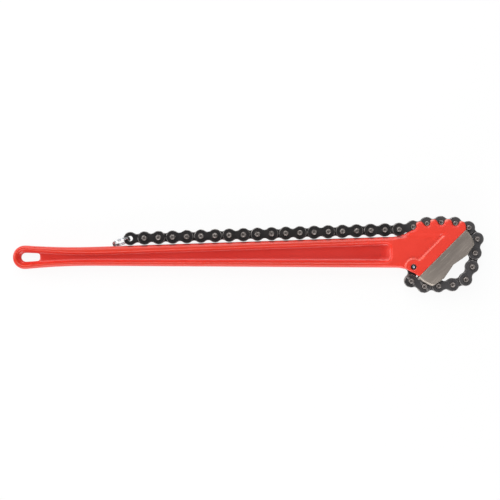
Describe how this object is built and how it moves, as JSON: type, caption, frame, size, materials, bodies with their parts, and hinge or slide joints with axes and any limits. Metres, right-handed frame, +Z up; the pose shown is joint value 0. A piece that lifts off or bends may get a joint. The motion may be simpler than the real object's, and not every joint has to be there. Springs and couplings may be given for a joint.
{
  "type": "chain pipe wrench",
  "caption": "Long red forged I-beam handle with a toothed double-ended jaw and a hooked flat-link chain that wraps round a pipe and tightens as the handle turns.",
  "frame": {"origin": "middle of the overall box on the surface that the wrench lies on, with the chain hooked", "axes": "+X along the handle towards the head, +Y towards the chain tail's side, +Z up along every hinge pin"},
  "size_m": [0.6342, 0.1038, 0.027],
  "materials": {
    "handle_paint": "gloss",
    "jaw_steel": "ground",
    "screw_steel": "black oxide",
    "anchor_steel": "satin",
    "chain_plate": "black oxide",
    "chain_pin": "satin",
    "ring_chrome": "polished"
  },
  "bodies": {
    "handle": {"handle": "handle_paint", "jaw": "jaw_steel", "jaw_screws": "screw_steel", "anchor_pin": "anchor_steel"},
    "link_01": {"inner_link_01": "chain_plate"},
    "link_02": {"outer_plates_02": "chain_plate", "link_pins_02": "chain_pin"},
    "link_03": {"inner_link_03": "chain_plate"},
    "link_04": {"outer_plates_04": "chain_plate", "link_pins_04": "chain_pin"},
    "link_05": {"inner_link_05": "chain_plate"},
    "link_06": {"outer_plates_06": "chain_plate", "link_pins_06": "chain_pin"},
    "link_07": {"inner_link_07": "chain_plate"},
    "link_08": {"outer_plates_08": "chain_plate", "link_pins_08": "chain_pin"},
    "link_09": {"inner_link_09": "chain_plate"},
    "link_10": {"outer_plates_10": "chain_plate", "link_pins_10": "chain_pin"},
    "link_11": {"inner_link_11": "chain_plate"},
    "link_12": {"outer_plates_12": "chain_plate", "link_pins_12": "chain_pin"},
    "link_13": {"inner_link_13": "chain_plate"},
    "link_14": {"outer_plates_14": "chain_plate", "link_pins_14": "chain_pin"},
    "link_15": {"inner_link_15": "chain_plate"},
    "link_16": {"outer_plates_16": "chain_plate", "link_pins_16": "chain_pin"},
    "link_17": {"inner_link_17": "chain_plate"},
    "link_18": {"outer_plates_18": "chain_plate", "link_pins_18": "chain_pin"},
    "link_19": {"inner_link_19": "chain_plate"},
    "link_20": {"outer_plates_20": "chain_plate", "link_pins_20": "chain_pin"},
    "link_21": {"inner_link_21": "chain_plate"},
    "link_22": {"outer_plates_22": "chain_plate", "link_pins_22": "chain_pin"},
    "link_23": {"inner_link_23": "chain_plate"},
    "link_24": {"outer_plates_24": "chain_plate", "link_pins_24": "chain_pin"},
    "link_25": {"inner_link_25": "chain_plate"},
    "link_26": {"outer_plates_26": "chain_plate", "link_pins_26": "chain_pin"},
    "link_27": {"inner_link_27": "chain_plate"},
    "link_28": {"outer_plates_28": "chain_plate", "link_pins_28": "chain_pin"},
    "link_29": {"inner_link_29": "chain_plate"},
    "link_30": {"outer_plates_30": "chain_plate", "link_pins_30": "chain_pin"},
    "link_31": {"inner_link_31": "chain_plate"},
    "link_32": {"outer_plates_32": "chain_plate", "link_pins_32": "chain_pin"},
    "link_33": {"inner_link_33": "chain_plate"},
    "end_ring": {"end_ring": "ring_chrome"}
  },
  "joints": [
    {"name": "link_01_hinge", "type": "hinge", "parent": "handle", "child": "link_01", "pos_m": [0.22225, -0.01674, 0.0135], "axis": [0, 0, 1], "range_deg": [0, 18.5]},
    {"name": "link_02_hinge", "type": "hinge", "parent": "link_01", "child": "link_02", "pos_m": [0.21943, -0.03558, 0.0135], "axis": [0, 0, 1], "range_deg": [-27.11, 0.2]},
    {"name": "link_03_hinge", "type": "hinge", "parent": "link_02", "child": "link_03", "pos_m": [0.23703, -0.04287, 0.0135], "axis": [0, 0, 1], "range_deg": [-0.2, 15.09]},
    {"name": "link_04_hinge", "type": "hinge", "parent": "link_03", "child": "link_04", "pos_m": [0.25607, -0.04221, 0.0135], "axis": [0, 0, 1], "range_deg": [-0.2, 19.27]},
    {"name": "link_05_hinge", "type": "hinge", "parent": "link_04", "child": "link_05", "pos_m": [0.27506, -0.04072, 0.0135], "axis": [0, 0, 1], "range_deg": [-11.96, 0.2]},
    {"name": "link_06_hinge", "type": "hinge", "parent": "link_05", "child": "link_06", "pos_m": [0.29273, -0.03358, 0.0135], "axis": [0, 0, 1], "range_deg": [-17.97, 0.2]},
    {"name": "link_07_hinge", "type": "hinge", "parent": "link_06", "child": "link_07", "pos_m": [0.30137, -0.01661, 0.0135], "axis": [0, 0, 1], "range_deg": [-3.6, 0.2]},
    {"name": "link_08_hinge", "type": "hinge", "parent": "link_07", "child": "link_08", "pos_m": [0.30534, 0.00203, 0.0135], "axis": [0, 0, 1], "range_deg": [-0.2, 22.67]},
    {"name": "link_09_hinge", "type": "hinge", "parent": "link_08", "child": "link_09", "pos_m": [0.30815, 0.02087, 0.0135], "axis": [0, 0, 1], "range_deg": [-13, 0.2]},
    {"name": "link_10_hinge", "type": "hinge", "parent": "link_09", "child": "link_10", "pos_m": [0.29655, 0.03598, 0.0135], "axis": [0, 0, 1], "range_deg": [-3.33, 0.2]},
    {"name": "link_11_hinge", "type": "hinge", "parent": "link_10", "child": "link_11", "pos_m": [0.27838, 0.04171, 0.0135], "axis": [0, 0, 1], "range_deg": [-12, 0]},
    {"name": "link_12_hinge", "type": "hinge", "parent": "link_11", "child": "link_12", "pos_m": [0.25937, 0.04287, 0.0135], "axis": [0, 0, 1], "range_deg": [-12, 0]},
    {"name": "link_13_hinge", "type": "hinge", "parent": "link_12", "child": "link_13", "pos_m": [0.24037, 0.04154, 0.0135], "axis": [0, 0, 1], "range_deg": [-12, 0]},
    {"name": "link_14_hinge", "type": "hinge", "parent": "link_13", "child": "link_14", "pos_m": [0.22188, 0.03694, 0.0135], "axis": [0, 0, 1], "range_deg": [-12, 0]},
    {"name": "link_15_hinge", "type": "hinge", "parent": "link_14", "child": "link_15", "pos_m": [0.2031, 0.03376, 0.0135], "axis": [0, 0, 1], "range_deg": [-13, 0]},
    {"name": "link_16_hinge", "type": "hinge", "parent": "link_15", "child": "link_16", "pos_m": [0.18406, 0.03311, 0.0135], "axis": [0, 0, 1], "range_deg": [-14, 0]},
    {"name": "link_17_hinge", "type": "hinge", "parent": "link_16", "child": "link_17", "pos_m": [0.16502, 0.03246, 0.0135], "axis": [0, 0, 1], "range_deg": [-15, 0]},
    {"name": "link_18_hinge", "type": "hinge", "parent": "link_17", "child": "link_18", "pos_m": [0.14598, 0.03181, 0.0135], "axis": [0, 0, 1], "range_deg": [-16, 0]},
    {"name": "link_19_hinge", "type": "hinge", "parent": "link_18", "child": "link_19", "pos_m": [0.12694, 0.03117, 0.0135], "axis": [0, 0, 1], "range_deg": [-17, 0]},
    {"name": "link_20_hinge", "type": "hinge", "parent": "link_19", "child": "link_20", "pos_m": [0.10791, 0.03052, 0.0135], "axis": [0, 0, 1], "range_deg": [-18, 0]},
    {"name": "link_21_hinge", "type": "hinge", "parent": "link_20", "child": "link_21", "pos_m": [0.08887, 0.02987, 0.0135], "axis": [0, 0, 1], "range_deg": [-19, 0]},
    {"name": "link_22_hinge", "type": "hinge", "parent": "link_21", "child": "link_22", "pos_m": [0.06983, 0.02922, 0.0135], "axis": [0, 0, 1], "range_deg": [-20, 0]},
    {"name": "link_23_hinge", "type": "hinge", "parent": "link_22", "child": "link_23", "pos_m": [0.05079, 0.02857, 0.0135], "axis": [0, 0, 1], "range_deg": [-21, 0]},
    {"name": "link_24_hinge", "type": "hinge", "parent": "link_23", "child": "link_24", "pos_m": [0.03175, 0.02792, 0.0135], "axis": [0, 0, 1], "range_deg": [-23, 0]},
    {"name": "link_25_hinge", "type": "hinge", "parent": "link_24", "child": "link_25", "pos_m": [0.01271, 0.02728, 0.0135], "axis": [0, 0, 1], "range_deg": [-24, 0]},
    {"name": "link_26_hinge", "type": "hinge", "parent": "link_25", "child": "link_26", "pos_m": [-0.00633, 0.02663, 0.0135], "axis": [0, 0, 1], "range_deg": [-25, 0]},
    {"name": "link_27_hinge", "type": "hinge", "parent": "link_26", "child": "link_27", "pos_m": [-0.02537, 0.02598, 0.0135], "axis": [0, 0, 1], "range_deg": [-26, 0]},
    {"name": "link_28_hinge", "type": "hinge", "parent": "link_27", "child": "link_28", "pos_m": [-0.04441, 0.02533, 0.0135], "axis": [0, 0, 1], "range_deg": [-27, 0]},
    {"name": "link_29_hinge", "type": "hinge", "parent": "link_28", "child": "link_29", "pos_m": [-0.06345, 0.02468, 0.0135], "axis": [0, 0, 1], "range_deg": [-28, 0]},
    {"name": "link_30_hinge", "type": "hinge", "parent": "link_29", "child": "link_30", "pos_m": [-0.08248, 0.02403, 0.0135], "axis": [0, 0, 1], "range_deg": [-29, 0]},
    {"name": "link_31_hinge", "type": "hinge", "parent": "link_30", "child": "link_31", "pos_m": [-0.10152, 0.02338, 0.0135], "axis": [0, 0, 1], "range_deg": [-30, 0]},
    {"name": "link_32_hinge", "type": "hinge", "parent": "link_31", "child": "link_32", "pos_m": [-0.12056, 0.02274, 0.0135], "axis": [0, 0, 1], "range_deg": [-31, 0]},
    {"name": "link_33_hinge", "type": "hinge", "parent": "link_32", "child": "link_33", "pos_m": [-0.1396, 0.02209, 0.0135], "axis": [0, 0, 1], "range_deg": [-32, 0]},
    {"name": "end_ring_swing", "type": "hinge", "parent": "link_33", "child": "end_ring", "pos_m": [-0.15864, 0.02144, 0.0135], "axis": [0, 0, 1], "range_deg": [-60, 0]}
  ],
  "couplings": [
    {"joint": "link_02_hinge", "follows": "link_01_hinge", "ratio": -1.3919},
    {"joint": "link_03_hinge", "follows": "link_01_hinge", "ratio": 0.77027},
    {"joint": "link_04_hinge", "follows": "link_01_hinge", "ratio": 0.98649},
    {"joint": "link_05_hinge", "follows": "link_01_hinge", "ratio": -0.60811},
    {"joint": "link_06_hinge", "follows": "link_01_hinge", "ratio": -0.91892},
    {"joint": "link_07_hinge", "follows": "link_01_hinge", "ratio": -0.17568},
    {"joint": "link_08_hinge", "follows": "link_01_hinge", "ratio": 1.1622},
    {"joint": "link_09_hinge", "follows": "link_01_hinge", "ratio": -0.66216},
    {"joint": "link_10_hinge", "follows": "link_01_hinge", "ratio": -0.16216}
  ]
}
